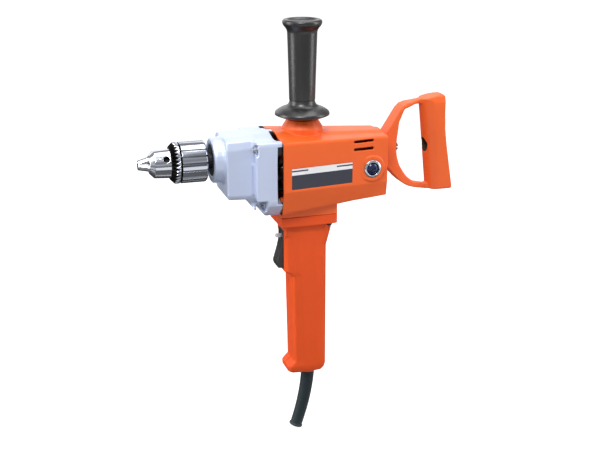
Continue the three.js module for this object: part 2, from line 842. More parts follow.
function addSpindle() {
  const collarX = frontBearingX + frontBearing.width + gap;
  const gearEndX = secondGearX + secondFaceWidth;
  piece('spindle', turned('x', [
    [chuckBackX - spindleNoseLength, 0],
    [chuckBackX - spindleNoseLength, spindleNoseRadius],
    [chuckBackX + gap, spindleNoseRadius],
    [chuckBackX + gap, spindleCollar],
    [frontBearingX - gap, spindleCollar],
    [frontBearingX - gap, frontBearing.bore - gap],
    [collarX, frontBearing.bore - gap],
    [collarX, spindleCollar],
    [secondGearX - gap, spindleCollar],
    [secondGearX - gap, spindleSeat],
    [gearEndX + gap, spindleSeat],
    [gearEndX + gap, tailBush.bore - gap],
    [bushBackX - 2 * gap, tailBush.bore - gap],
    [bushBackX - 2 * gap, 0],
  ], onSpindle), toolSteel);
  const gearBlank = gear(secondGearTeeth, secondModule, -secondShiftShare,
    downward + Math.PI / secondGearTeeth, secondGearX, gearEndX, 0);
  piece('spindle_gear', cut(gearBlank,
    rod('x', secondGearX - overrun, gearEndX + overrun, spindleSeat + gap, onSpindle)), toolSteel);
}

function addLayShaft() {
  const pinionX = secondGearX - gap;
  const seatX = firstGearX - gap;
  piece('intermediate_shaft', join(
    turned('x', [
      [layNoseX + gap, 0],
      [layNoseX + gap, layNoseBush.bore - gap],
      [layNoseX + layNoseBush.width, layNoseBush.bore - gap],
      [layNoseX + layNoseBush.width, laySeat],
      [layBossX - gap, laySeat],
      [layBossX - gap, layBush.bore - gap],
      [bushBackX - 2 * gap, layBush.bore - gap],
      [bushBackX - 2 * gap, 0],
    ], onLay, smallSides),
    gear(secondPinionTeeth, secondModule, secondShiftShare, upward, pinionX, seatX, layZ),
  ), toolSteel);
  const blank = gear(firstGearTeeth, firstModule, -firstShiftShare,
    upward + Math.PI / firstGearTeeth, firstGearX, firstGearX + firstFaceWidth, layZ);
  piece('intermediate_gear', cut(blank,
    rod('x', firstGearX - overrun, layBossX, laySeat + gap, onLay, smallSides)), toolSteel);
}

// One chuck jaw: a tilted round bar, ground to a third of the circle at its inner side
function makeJaw(angle) {
  const geometry = new THREE.CylinderGeometry(jawRadius, jawRadius, jawLength + overrun, smallSides);
  geometry.rotateZ(-Math.PI / 2);
  geometry.translate((jawLength - overrun) / 2, 0, 0);
  geometry.rotateY(-jawTilt);
  geometry.translate(jawTipX, 0, jawTipRadius - jawRadius);
  const third = Math.PI / jawCount;
  const wide = 2 * chuckRadius;
  const apex = gap / 2 / Math.sin(third);
  const wedge = slab('x', jawTipX, chuckBackX, outline([
    [0, apex],
    [wide * Math.sin(third), apex + wide * Math.cos(third)],
    [0, 2 * wide],
    [-wide * Math.sin(third), apex + wide * Math.cos(third)],
  ]));
  const openLimit = rod('x', jawTipX - overrun, chuckBackX, sleeveBore - runningGap,
    [0, 0, -chuckCapacity / 2], fineSides);
  return turnedRound(toSolid(geometry).intersect(wedge).intersect(openLimit), angle);
}

// A solid turned round the spindle axis, by way of its own mesh
function turnedRound(solid, angle) {
  const { vertProperties, triVerts } = solid.getMesh();
  const geometry = new THREE.BufferGeometry();
  geometry.setAttribute('position', new THREE.BufferAttribute(vertProperties, 3));
  geometry.setIndex(new THREE.BufferAttribute(triVerts, 1));
  geometry.rotateX(angle);
  return toSolid(geometry);
}

const jawAngle = (i) => 2 * Math.PI * i / jawCount;

// The radius that clears the jaws at a place along the spindle, wherever they stand
const jawOutside = (x) => jawTipRadius + (x - jawTipX) * Math.tan(jawTilt) + nutClearance;

function makeChuckBody() {
  const rearRadius = sleeveBore - runningGap;
  const grooveRadius = noseRootRadius - gap;
  const outer = turned('x', [
    [noseX, 0],
    [noseX, noseRadius - noseChamfer],
    [noseX + noseChamfer, noseRadius],
    [sleeveFrontX - gap, noseRootRadius],
    [nutX - gap, noseRootRadius],
    [nutX - gap, grooveRadius],
    [nutX + nutLength + gap, grooveRadius],
    [nutX + nutLength + gap, rearRadius],
    [chuckBackX - gap, rearRadius],
    [chuckBackX - gap, 0],
  ], onSpindle, fineSides);
  const jawBores = [];
  const keyHoles = [];
  for (let i = 0; i < jawCount; i += 1) {
    const bore = new THREE.CylinderGeometry(jawRadius + gap, jawRadius + gap,
      2 * jawLength + overrun, smallSides);
    bore.rotateZ(-Math.PI / 2);
    bore.translate(jawLength - overrun, 0, 0);
    bore.rotateY(-jawTilt);
    bore.translate(jawTipX, 0, jawTipRadius - jawRadius);
    bore.rotateX(jawAngle(i));
    jawBores.push(toSolid(bore));
    const hole = new THREE.CylinderGeometry(keyHoleRadius, keyHoleRadius, 2 * keyHoleDepth, smallSides);
    hole.translate(0, noseRadius, 0);
    hole.rotateX(jawAngle(i) + Math.PI / 2 + Math.PI / jawCount);
    hole.translate(sleeveFrontX - keyHoleSetback, 0, 0);
    keyHoles.push(toSolid(hole));
  }
  const spindleEndX = chuckBackX - spindleNoseLength;
  const floorX = spindleEndX - gap - chuckFloor;
  return cut(outer, ...jawBores, ...keyHoles,
    rod('x', noseX - overrun, floorX, shankBore, onSpindle, smallSides),
    rod('x', floorX - overrun, chuckBackX, arborScrewRadius + gap, onSpindle, smallSides),
    rod('x', spindleEndX - gap, chuckBackX + overrun, spindleNoseRadius + gap, onSpindle),
  );
}

function makeSleeve() {
  const crownEndX = sleeveFrontX + crownLength;
  const barrelX = crownEndX + sleeveGroove;
  const lipEndX = nutX - gap;
  const frontBore = noseRootRadius + gap;
  const waist = chuckRadius - fluteDepth;
  const whole = turned('x', [
    [sleeveFrontX, frontBore],
    [sleeveFrontX, chuckRadius - crownRise],
    [sleeveFrontX + crownSlope, chuckRadius],
    [crownEndX, chuckRadius],
    [crownEndX, waist],
    [barrelX, waist],
    [barrelX, chuckRadius],
    [chuckBackX - sleeveChamfer, chuckRadius],
    [chuckBackX, chuckRadius - sleeveChamfer],
    [chuckBackX, sleeveBore],
    [lipEndX, sleeveBore],
    [lipEndX, jawOutside(lipEndX) + runningGap],
    [sleeveFrontX, frontBore],
  ], onSpindle, fineSides);
  const cuts = [];
  for (let i = 0; i < fluteCount; i += 1) {
    const flute = new THREE.BoxGeometry(chuckBackX - barrelX, fluteWidth, 2 * fluteDepth);
    flute.translate(barrelX + sleeveChamfer + (chuckBackX - barrelX) / 2, 0, chuckRadius);
    flute.rotateX(2 * Math.PI * (i + fluteStartShare) / fluteCount);
    cuts.push(toSolid(flute));
  }
  for (let i = 0; i < crownTeeth; i += 1) {
    const notch = new THREE.BoxGeometry(2 * crownToothRun, crownGap, 2 * crownToothDepth);
    notch.rotateY(-Math.atan2(crownRise, crownSlope));
    notch.translate(sleeveFrontX, 0, chuckRadius - crownRise);
    notch.rotateX(2 * Math.PI * (i + 1 / 2) / crownTeeth);
    cuts.push(toSolid(notch));
  }
  return cut(whole, ...cuts);
}

function addChuck() {
  piece('chuck_body', makeChuckBody(), brightSteel);
  piece('chuck_sleeve', makeSleeve(), brightSteel);
  piece('chuck_nut', turned('x', [
    [nutX, jawOutside(nutX)],
    [nutX, sleeveBore - gap],
    [nutX + nutLength, sleeveBore - gap],
    [nutX + nutLength, jawOutside(nutX + nutLength)],
    [nutX, jawOutside(nutX)],
  ], onSpindle, fineSides), toolSteel);
  for (let i = 0; i < jawCount; i += 1) {
    piece(`chuck_jaw_${i + 1}`, makeJaw(jawAngle(i)), toolSteel);
  }
  const floorX = chuckBackX - spindleNoseLength - gap - chuckFloor;
  piece('arbor_screw', screw('x', floorX - gap, -1, chuckFloor, arborScrewRadius,
    arborScrewHead, chuckFloor, onSpindle), toolSteel);
}

// Everything that turns with the motor, and the two bearings it turns in
function addArmature() {
  const pinionX = firstGearX - gap;
  const bearingX = -bracketBack - motorFrontBearing.width;
  const rearBearingX = housingLength - rearWall - motorRearBearing.width - gap;
  piece('armature_shaft', join(
    gear(firstPinionTeeth, firstModule, firstShiftShare, downward, pinionX, layBossX + gap, motorZ),
    turned('x', [
      [layBossX, 0],
      [layBossX, motorFrontBearing.bore - gap],
      [-bracketBack, motorFrontBearing.bore - gap],
      [-bracketBack, shaftRadius],
      [rearBearingX - gap, shaftRadius],
      [rearBearingX - gap, motorRearBearing.bore - gap],
      [rearBearingX + motorRearBearing.width, motorRearBearing.bore - gap],
      [rearBearingX + motorRearBearing.width, 0],
    ], onMotor, smallSides),
  ), toolSteel);
  const bore = shaftRadius + gap;
  const slots = [];
  for (let i = 0; i < coreSlots; i += 1) {
    const geometry = new THREE.BoxGeometry(stackLength + 2 * overrun, coreSlotWidth, 2 * coreSlotDepth);
    geometry.translate(stackStart + stackLength / 2, 0, armatureRadius);
    geometry.rotateX(2 * Math.PI * i / coreSlots);
    geometry.translate(...onMotor);
    slots.push(toSolid(geometry));
  }
  piece('armature_core', cut(
    ring('x', stackStart, stackEnd, bore, armatureRadius, onMotor, 2 * coreSlots), ...slots), laminated);
  const frontTurnX = stackStart - gap - endTurnLength;
  const slotBars = [];
  for (let i = 0; i < coreSlots; i += 1) {
    const wide = coreSlotWidth - 2 * gap;
    const geometry = new THREE.BoxGeometry(stackLength + 2 * overrun, wide, coreSlotDepth - 2 * gap);
    geometry.translate(stackStart + stackLength / 2, 0, armatureRadius - coreSlotDepth / 2 - gap);
    geometry.rotateX(2 * Math.PI * i / coreSlots);
    geometry.translate(...onMotor);
    slotBars.push(toSolid(geometry));
  }
  const frontTurns = turned('x', [
    [frontTurnX, bore], [frontTurnX, endTurnRadius - coilWidth], [frontTurnX + coilWidth, endTurnRadius],
    [stackStart - gap, endTurnRadius], [stackStart - gap, bore], [frontTurnX, bore],
  ], onMotor, smallSides);
  const rearTurns = turned('x', [
    [stackEnd + gap, bore], [stackEnd + gap, endTurnRadius], [stackEnd + endTurnLength, endTurnRadius],
    [commutatorX - gap, commutatorRadius - holderWall], [commutatorX - gap, bore],
    [stackEnd + gap, bore],
  ], onMotor, smallSides);
  piece('armature_winding', join(frontTurns, rearTurns, ...slotBars), copper);
  const barOutline = [];
  for (let i = 0; i < commutatorBars; i += 1) {
    const middle = 2 * Math.PI * i / commutatorBars;
    const half = Math.PI / commutatorBars - barGap / 2 / commutatorRadius;
    barOutline.push(around(commutatorRadius, middle - half));
    barOutline.push(around(commutatorRadius, middle + half));
    barOutline.push(around(commutatorRadius - barGap, middle + Math.PI / commutatorBars));
  }
  const bars = slab('x', 0, commutatorLength, outline(barOutline));
  piece('commutator', cut(
    join(bars.translate(commutatorX, 0, motorZ),
      rod('x', commutatorX, commutatorX + commutatorRiser, commutatorRadius + holderWall, onMotor)),
    rod('x', commutatorX - overrun, brushX + commutatorLength, bore, onMotor, smallSides)), copper);
  const fanX = -fanAhead;
  const blades = [];
  for (let i = 0; i < fanBlades; i += 1) {
    const bladeReach = fanRadius - fanHubRadius;
    const geometry = new THREE.BoxGeometry(fanDepth - fanDisc, fanBladeThickness, bladeReach);
    geometry.translate(fanX + (fanDepth + fanDisc) / 2, 0, fanHubRadius + bladeReach / 2);
    geometry.rotateX(2 * Math.PI * i / fanBlades);
    geometry.translate(...onMotor);
    blades.push(toSolid(geometry));
  }
  piece('cooling_fan', cut(join(
    rod('x', fanX, fanX + fanDisc, fanRadius, onMotor),
    rod('x', fanX, fanX + fanDepth, fanHubRadius + fanBladeThickness, onMotor, smallSides),
    ...blades,
  ).intersect(rod('x', fanX - overrun, fanX + fanDepth + overrun, fanRadius, onMotor)),
  rod('x', fanX - overrun, fanX + fanDepth + overrun, bore, onMotor, smallSides)), blackPlastic);
  piece('motor_front_bearing', bearing(motorFrontBearing, bearingX, onMotor), brightSteel);
  piece('motor_rear_bearing', bearing(motorRearBearing, rearBearingX, onMotor), brightSteel);
}

function addField() {
  const inner = statorRadius - statorRing;
  const boreRadius = armatureRadius + airGap;
  const shoeTop = boreRadius - airGap;
  const [, , axisZ] = onMotor;
  const poles = box(stackStart, stackEnd, -poleShoe, poleShoe, axisZ - statorRadius, axisZ + statorRadius)
    .intersect(rod('x', stackStart, stackEnd, inner + statorRing / 2, onMotor));
  const coilRooms = sides.flatMap(([, side]) => sides.map(([, up]) => {
    const acrossPole = [side * poleNeck, side * (poleShoe + overrun)].sort((a, b) => a - b);
    const upPole = [axisZ + up * shoeTop, axisZ + up * (statorRadius + overrun)].sort((a, b) => a - b);
    return box(stackStart - overrun, stackEnd + overrun, ...acrossPole, ...upPole);
  }));
  const yoke = ring('x', stackStart, stackEnd, inner, statorRadius, onMotor);
  piece('field_stator', cut(join(cut(poles, ...coilRooms), yoke),
    rod('x', stackStart - overrun, stackEnd + overrun, boreRadius, onMotor, fineSides)), laminated);
  const inside = [stackStart - runningGap, stackEnd + runningGap, poleNeck + gap];
  const outside = [stackStart - coilOverhang, stackEnd + coilOverhang, poleNeck + gap + coilWidth];
  const loop = ([from, to, half], reach) => outline([
    [from, -half, reach], [to, -half, reach], [to, half, reach], [from, half, reach],
  ]);
  [['upper', 1], ['lower', -1]].forEach(([name, up]) => {
    const ends = [axisZ + up * (shoeTop + gap), axisZ + up * (shoeTop + gap + coilHeight)];
    const [low, high] = ends.sort((a, b) => a - b);
    piece(`field_coil_${name}`, cut(slab('z', low, high, loop(outside, coilWidth)),
      slab('z', low - overrun, high + overrun, loop(inside, 0))), copper);
  });
}

// The housing's outline at the gear case, drawn in by the given inset
const housingOutline = (inset) => symmetric([
  [0, housingTop - inset],
  [humpHalfWidth - inset / 2, housingTop - inset, housingCorner],
  [humpFoot - inset / 2, housingShoulder - inset, housingCorner],
  [housingHalfWidth - inset, housingSideTop - inset, housingCorner],
  [housingHalfWidth - inset, -housingSideBottom, housingCorner],
  [housingFoot - inset / 2, -housingBottom + inset, housingCorner],
  [0, -housingBottom + inset],
]);

// The housing tapers to the rear, in width, from above and from below. Each height of the front
// outline has its own height at the rear, and the points between them follow in proportion
const taperHousing = (inset) => {
  const { lerp, mapLinear } = THREE.MathUtils;
  const heights = [
    [-housingBottom + inset, -rearBottom + inset],
    [-housingSideBottom, -rearSideBottom],
    [housingSideTop - inset, rearShoulder - inset],
    [housingTop - inset, rearTop - inset],
  ];
  return (point) => {
    const share = point.x / housingLength;
    const above = heights.findIndex(([front], i) => i > 0 && point.z <= front);
    const upper = above < 0 ? heights.length - 1 : above;
    const [[low, rearLow], [high, rearHigh]] = heights.slice(upper - 1, upper + 1);
    point.y *= lerp(1, rearWidthShare, share);
    point.z = lerp(point.z, mapLinear(point.z, low, high, rearLow, rearHigh), share);
  };
};

const housingSolid = (from, to, inset) => (
  slab('x', from, to, housingOutline(inset), { reshape: taperHousing(inset) })
);

const sideAt = (x) => housingHalfWidth * THREE.MathUtils.lerp(1, rearWidthShare, x / housingLength);

function makeHousing() {
  const outer = housingSolid(0, housingLength, 0);
  const roomEndX = housingLength - rearWall;
  const room = housingSolid(-overrun, roomEndX, housingWall);
  const base = slab('z', baseJointZ, -housingBottom + 2 * housingWall, outline([
    [blockFront, -baseHalfWidth, baseCorner],
    [blockRear, -baseHalfWidth, baseCorner],
    [blockRear, baseHalfWidth, baseCorner],
    [blockFront, baseHalfWidth, baseCorner],
  ]));
  const ribEndX = stackEnd + coilOverhang;
  const ribs = join(
    box(stackStart - coilOverhang, ribEndX, -housingHalfWidth, housingHalfWidth,
      motorZ - ribThickness / 2, motorZ + ribThickness / 2),
    box(stackStart - coilOverhang, ribEndX, -ribThickness / 2, ribThickness / 2,
      -housingBottom, housingTop),
  ).intersect(outer);
  const seat = turned('z', [
    [insertBottomZ - seatWall, 0],
    [insertBottomZ - seatWall, seatTopRadius - housingWall],
    [housingSideTop, seatFootRadius],
    [seatFootZ, seatFootRadius],
    [seatTopZ, seatTopRadius],
    [seatTopZ, 0],
  ], [seatX, 0, 0]);
  const cornerEndX = screwTipX + gap + seatWall;
  const corners = join(...caseScrewPlaces.flatMap(([y, z]) => [
    rod('x', 0, cornerEndX, pillarRadius, [0, y, z], smallSides),
    box(0, cornerEndX, y - ribThickness / 2, y + ribThickness / 2,
      ...[z, z < 0 ? -housingBottom : housingTop].sort((a, b) => a - b)),
  ])).intersect(outer);
  const bearingBossX = roomEndX - motorRearBearing.width - gap;
  const bearingBoss = rod('x', bearingBossX, roomEndX + overrun, motorRearBearing.outer + bossWall, onMotor);
  const boltBoss = rod('x', bearingBossX, roomEndX + overrun, spadeBoltRadius + bossWall,
    [0, 0, spadeBoltZ], smallSides);
  const capSeats = sides.map(([, side]) => turned('y', [
    [side * (holderInner + gap), 0],
    [side * (holderInner + gap), holderRadius + bossWall],
    [side * sideAt(brushX + capBossRadius), capBossRadius],
    [side * capFace, capBossRadius],
    [side * capFace, 0],
  ], [brushX, 0, motorZ]));
  const capRooms = sides.flatMap(([, side]) => [
    turned('y', [
      [0, 0], [0, holderRadius + gap], [side * capFloor, holderRadius + gap],
      [side * capFloor, capRadius + capRing + gap],
      [side * (capFace + overrun), capRadius + capRing + gap], [side * (capFace + overrun), 0],
    ], [brushX, 0, motorZ]),
    ...ventZs.map((z) => {
      const across = [side * humpFoot, side * (housingHalfWidth + overrun)].sort((a, b) => a - b);
      return box(ventStart, ventEnd, ...across, z - ventHeight / 2, z + ventHeight / 2);
    }),
  ]);
  const plate = cut(
    box(plateStart, plateEnd, -housingHalfWidth - overrun, -humpFoot, plateBottomZ, plateTopZ),
    housingSolid(-overrun, housingLength + overrun, plateDepth),
  );
  const solid = join(cut(join(outer, base), room), ribs, seat, corners, bearingBoss, boltBoss, ...capSeats);
  return cut(solid, plate, ...capRooms,
    rod('x', -overrun, ribEndX + overrun, statorRadius + runningGap, onMotor),
    rod('x', bearingBossX - overrun, roomEndX, motorRearBearing.outer + gap, onMotor),
    rod('x', bearingBossX - overrun, housingLength + overrun, spadeBoltRadius + gap,
      [0, 0, spadeBoltZ], smallSides),
    rod('z', insertBottomZ, seatTopZ + overrun, insertRadius + gap, [seatX, 0, 0]),
    ...caseScrewPlaces.map(([y, z]) => (
      rod('x', -overrun, screwTipX + gap, caseScrewRadius + gap, [0, y, z], smallSides))),
    ...baseScrewPlaces.map(([x, y]) => (
      rod('z', baseJointZ - overrun, baseScrewTopZ + gap, baseScrewRadius + gap, [x, y, 0], smallSides))),
    box(leadStart, leadEnd, -leadHalfWidth, leadHalfWidth, baseJointZ - overrun, -housingBottom + 2 * overrun),
  );
}

function addBrushGear() {
  sides.forEach(([name, side]) => {
    const place = [brushX, 0, motorZ];
    const rimRadius = capRadius + capRing;
    const brushOuter = capFloor + runningGap - brushSpringLength;
    const ySpan = (from, to) => [side * from, side * to].sort((a, b) => a - b);
    const holder = turned('y', [
      [side * holderInner, 0], [side * holderInner, holderRadius],
      [side * (capFloor + gap), holderRadius], [side * (capFloor + gap), rimRadius],
      [side * (capFace + capRingProud), rimRadius], [side * (capFace + capRingProud), capRadius + gap],
      [side * (capFloor + runningGap), capRadius + gap], [side * (capFloor + runningGap), 0],
    ], place);
    const slot = box(
      brushX - brushWidth / 2 - gap, brushX + brushWidth / 2 + gap,
      ...ySpan(holderInner - overrun, capFace),
      motorZ - brushHeight / 2 - gap, motorZ + brushHeight / 2 + gap,
    );
    piece(`brush_holder_${name}`, cut(holder, slot), brassMetal);
    piece(`carbon_brush_${name}`, box(
      brushX - brushWidth / 2, brushX + brushWidth / 2,
      ...ySpan(commutatorRadius + gap, brushOuter),
      motorZ - brushHeight / 2, motorZ + brushHeight / 2,
    ), carbon);
    piece(`brush_spring_${name}`, coilSpring('y', side * (brushOuter + gap), side * (capFloor + runningGap),
      brushSpringRadius, springWire, brushSpringTurns, place), brightSteel);
    const cap = turned('y', [
      [side * (capFloor + runningGap + gap), 0], [side * (capFloor + runningGap + gap), capRadius],
      [side * (capFace - capRecess), capRadius], [side * (capFace + capCrown - capRecess), capRadius * capCrownShare],
      [side * (capFace + capCrown - capRecess), 0],
    ], place);
    const slotCut = box(brushX - capRadius, brushX + capRadius,
      ...ySpan(capFace - capRecess - capSlot, capFace + overrun), motorZ - capSlot / 2, motorZ + capSlot / 2);
    piece(`brush_cap_${name}`, cut(cap, slotCut), blackPlastic);
  });
}

// A round wire wound along an axis: one closed tube on a helix
function coilSpring(axis, from, to, radius, wire, turns, centre) {
  const steps = turns * springSteps;
  const positions = [];
  const index = [];
  const low = Math.min(from, to) + wire;
  const high = Math.max(from, to) - wire;
  for (let i = 0; i <= steps; i += 1) {
    const angle = 2 * Math.PI * i / springSteps;
    const along = THREE.MathUtils.lerp(low, high, i / steps);
    for (let k = 0; k < springWireSides; k += 1) {
      const turn = 2 * Math.PI * k / springWireSides;
      const reach = radius + wire * Math.cos(turn);
      const point = [reach * Math.cos(angle), reach * Math.sin(angle), along + wire * Math.sin(turn)];
      positions.push(...point);
      const next = (k + 1) % springWireSides;
      const here = i * springWireSides;
      if (i < steps) {
        index.push(here + k, here + springWireSides + k, here + next);
        index.push(here + next, here + springWireSides + k, here + springWireSides + next);
      }
    }
  }
  const last = steps * springWireSides;
  for (let k = 1; k < springWireSides - 1; k += 1) {
    index.push(0, k, k + 1);
    index.push(last, last + k + 1, last + k);
  }
  const geometry = new THREE.BufferGeometry();
  geometry.setAttribute('position', new THREE.Float32BufferAttribute(positions, 3));
  geometry.setIndex(index);
  geometry.applyMatrix4(acrossAxis[axis]);
  geometry.translate(...centre);
  return toSolid(geometry);
}

// A grip body lofted through rows of [height, front, back, half width], drawn in by inset
function gripBody(rows, inset, cornerShare) {
  const section = outline([
    [0, -1, cornerShare], [1, -1, cornerShare], [1, 1, cornerShare], [0, 1, cornerShare],
  ]);
  return slab('z', 0, rows.length - 1, section, {
    steps: rows.length - 1,
    reshape: (point) => {
      const [z, front, back, half] = rows[Math.round(point.z)];
      point.x = THREE.MathUtils.lerp(front + inset, back - inset, point.x);
      point.y *= half - inset;
      point.z = z;
    },
  });
}

const gripRows = [
  [gripBottomZ, gripToeX + gripEase, gripBack - gripEase, gripHalfWidth - gripEase],
  [gripBottomZ + gripEase, gripToeX, gripBack - gripEase / 3, gripHalfWidth - gripEase / 3],
  [gripToeZ, gripToeX, gripBack, gripHalfWidth],
  [gripToeZ + gripEase * 2, gripFrontFoot, gripBack, gripHalfWidth],
  [gripStepZ, gripFront - gripStepEase, gripBack, gripHalfWidth],
  [gripGuardBottomZ, gripGuardFront, gripBack, gripHalfWidth],
  [gripFlareZ, gripGuardFront, gripBack, gripHalfWidth],
  [gripFlangeBottomZ - gripNeck, gripGuardFront, gripFlareX - gripStepEase, gripHalfWidth + gripStepEase],
  [gripFlangeBottomZ + gripStepEase, blockFront + gripStepEase, gripFlareX, gripHalfWidth + gripEase],
];

function makeGrip() {
  const flange = slab('z', gripFlangeBottomZ, baseJointZ - gap, outline([
    [blockFront, -baseHalfWidth, baseCorner],
    [blockRear, -baseHalfWidth, baseCorner],
    [blockRear, baseHalfWidth, baseCorner],
    [blockFront, baseHalfWidth, baseCorner],
  ]));
  const collar = turned('z', [
    [gripBottomZ - collarLength, 0],
    [gripBottomZ - collarLength, guardTopRadius + gap + collarWall],
    [gripBottomZ + gripWall, collarRadius + collarWall],
    [gripBottomZ + gripWall, 0],
  ], [guardX, 0, 0]);
  const body = gripBody(gripRows, 0, gripCornerShare);
  const innerRows = gripRows.map(([z, ...rest], i) => [
    i === 0 ? z + gripWall : Math.max(z, gripBottomZ + gripWall + (i === 1 ? gripEase : 0)), ...rest,
  ]);
  const room = gripBody(innerRows, gripWall, gripCornerShare);
  const pinBosses = sides.map(([, side]) => {
    const across = [side * (triggerHalfWidth + gap), side * gripHalfWidth].sort((a, b) => a - b);
    return box(gripGuardFront + gap, triggerPivotX + pinBoss, ...across,
      triggerPivotZ - pinBoss, triggerPivotZ + pinBoss);
  });
  const screwPosts = gripScrewPlaces.map(([x, z]) => (
    rod('y', -gripHalfWidth + gap, gripHalfWidth - gap, gripScrewRadius + bossWall, [x, 0, z], smallSides)
  ));
  const switchStops = sides.map(([, side]) => {
    const across = [side * (switchHalfWidth + gap), side * (gripHalfWidth - gap)].sort((a, b) => a - b);
    return box(switchFront, switchBack, ...across,
      (switchTopZ + switchBottomZ) / 2 - ribThickness / 2, (switchTopZ + switchBottomZ) / 2 + ribThickness / 2);
  });
  return cut(join(cut(join(flange, collar, body), room), ...pinBosses, ...screwPosts, ...switchStops),
    box(leadStart, leadEnd, -leadHalfWidth, leadHalfWidth, gripFlangeBottomZ - gripNeck, baseJointZ + overrun),
    box(0, switchNeckX, -triggerHalfWidth - gap, triggerHalfWidth + gap,
      triggerBottomZ - triggerRoom, triggerTopZ + gap),
    rod('y', -gripHalfWidth + gripPinWall, gripHalfWidth - gripPinWall, triggerPinRadius + gap,
      [triggerPivotX, 0, triggerPivotZ], smallSides),
    rod('z', gripBottomZ - 2 * collarLength, gripBottomZ + 2 * gripWall, guardTopRadius + gap, [guardX, 0, 0]),
    ...gripScrewPlaces.flatMap(([x, z]) => [
      rod('y', -gripHalfWidth + gripWall, gripHalfWidth + overrun, gripScrewRadius + gap, [x, 0, z], smallSides),
      rod('y', gripScrewSeat, gripHalfWidth + overrun, gripScrewHead + gap, [x, 0, z], smallSides),
    ]),
    ...baseScrewPlaces.map(([x, y]) => (
      rod('z', gripFlangeBottomZ - overrun, baseJointZ + overrun, baseScrewRadius + gap, [x, y, 0], smallSides))),
    ...baseScrewPlaces.map(([x, y]) => (
      rod('z', gripFlangeBottomZ - gripNeck - gripEase, gripFlangeBottomZ, baseScrewHead + gap,
        [x, y, 0], smallSides))),
  );
}

function addGrip() {
  const grip = makeGrip();
  const halfSpace = (side) => box(-blockRear, 2 * blockRear,
    ...[side * gap / 2, side * 2 * baseHalfWidth].sort((a, b) => a - b), 2 * gripBottomZ, 0);
  sides.forEach(([name, side]) => {
    piece(`handle_shell_${name}`, grip.intersect(halfSpace(side)), orangePlastic);
  });
  gripScrewPlaces.forEach(([x, z], i) => {
    piece(`handle_screw_${i + 1}`, screw('y', gripScrewSeat + gap, 1, gripScrewLength, gripScrewRadius,
      gripScrewHead, gripScrewHeadLength, [x, 0, z]), toolSteel);
  });
  baseScrewPlaces.forEach(([x, y], i) => {
    piece(`base_screw_${i + 1}`, screw('z', gripFlangeBottomZ - gap, -1, baseScrewTopZ - gripFlangeBottomZ,
      baseScrewRadius, baseScrewHead, baseScrewHeadLength, [x, y, 0]), toolSteel);
  });
}

function makeTrigger() {
  const profile = slab('y', -triggerHalfWidth, triggerHalfWidth, outline([
    [triggerPivotX + pinBoss - gap, triggerTopZ],
    [triggerFrontX, triggerTopZ, triggerPinRadius],
    [triggerFrontX, triggerBendZ, triggerBend],
    [triggerToeX, triggerToeZ, triggerPinRadius],
    [triggerToeX + triggerPinRadius, triggerBottomZ, triggerPinRadius],
    [triggerBottomX, triggerBottomZ],
    [triggerBottomX, triggerBendZ],
    [triggerPivotX + pinBoss - gap, triggerPivotZ - pinBoss],
  ]));
  const leverRoom = box(0, switchFront, -leverSwing, leverSwing,
    leverZ - leverHeight / 2 - leverPlay, leverZ + leverHeight / 2 + leverPlay);
  const springRoom = rod('x', triggerBottomX - springPocket, switchFront,
    triggerSpringRadius + springWire + runningGap, [0, 0, triggerSpringZ], smallSides);
  const pinHole = rod('y', -2 * triggerHalfWidth, 2 * triggerHalfWidth, triggerPinRadius + gap,
    [triggerPivotX, 0, triggerPivotZ], smallSides);
  return cut(profile, leverRoom, springRoom, pinHole);
}

function addTrigger() {
  piece('trigger', makeTrigger(), blackPlastic);
  piece('trigger_pin', rod('y', -gripHalfWidth + gripPinWall + gap, gripHalfWidth - gripPinWall - gap,
    triggerPinRadius, [triggerPivotX, 0, triggerPivotZ], smallSides), toolSteel);
  const switchShape = outline([
    [switchNeckX, leverZ + switchCheek],
    [leverPivotX + switchCheek + leverHubRadius, leverZ + switchCheek],
    [leverPivotX + switchCheek + leverHubRadius, switchTopZ],
    [switchBack, switchTopZ],
    [switchBack, switchBottomZ],
    [switchFront, switchBottomZ],
    [switchFront, switchTopZ],
    [switchNeckX, switchTopZ],
  ]);
  const leverSlot = box(0, leverPivotX + leverHubRadius + runningGap, -leverSwing, leverSwing,
    leverZ - leverHeight / 2 - gap, leverZ + leverHeight / 2 + gap);
  piece('trigger_switch', join(
    cut(slab('y', -switchHalfWidth, switchHalfWidth, switchShape), leverSlot),
    rod('z', switchTopZ - gap, leverZ + switchCheek - gap, leverPinRadius, [leverPivotX, 0, 0], smallSides),
  ), blackPlastic);
  const lever = join(
    box(leverTipX, leverPivotX, -leverWidth / 2, leverWidth / 2, leverZ - leverHeight / 2, leverZ + leverHeight / 2),
    rod('z', leverZ - leverHeight / 2, leverZ + leverHeight / 2, leverHubRadius, [leverPivotX, 0, 0], smallSides),
  );
  piece('reversing_lever', cut(lever, rod('z', leverZ - leverHeight, leverZ + leverHeight,
    leverPinRadius + gap, [leverPivotX, 0, 0], smallSides)), castAluminium);
  piece('trigger_spring', coilSpring('x', triggerBottomX - springPocket + springTravel, switchFront - gap,
    triggerSpringRadius, springWire, triggerSpringTurns, [0, 0, triggerSpringZ]), brightSteel);
}

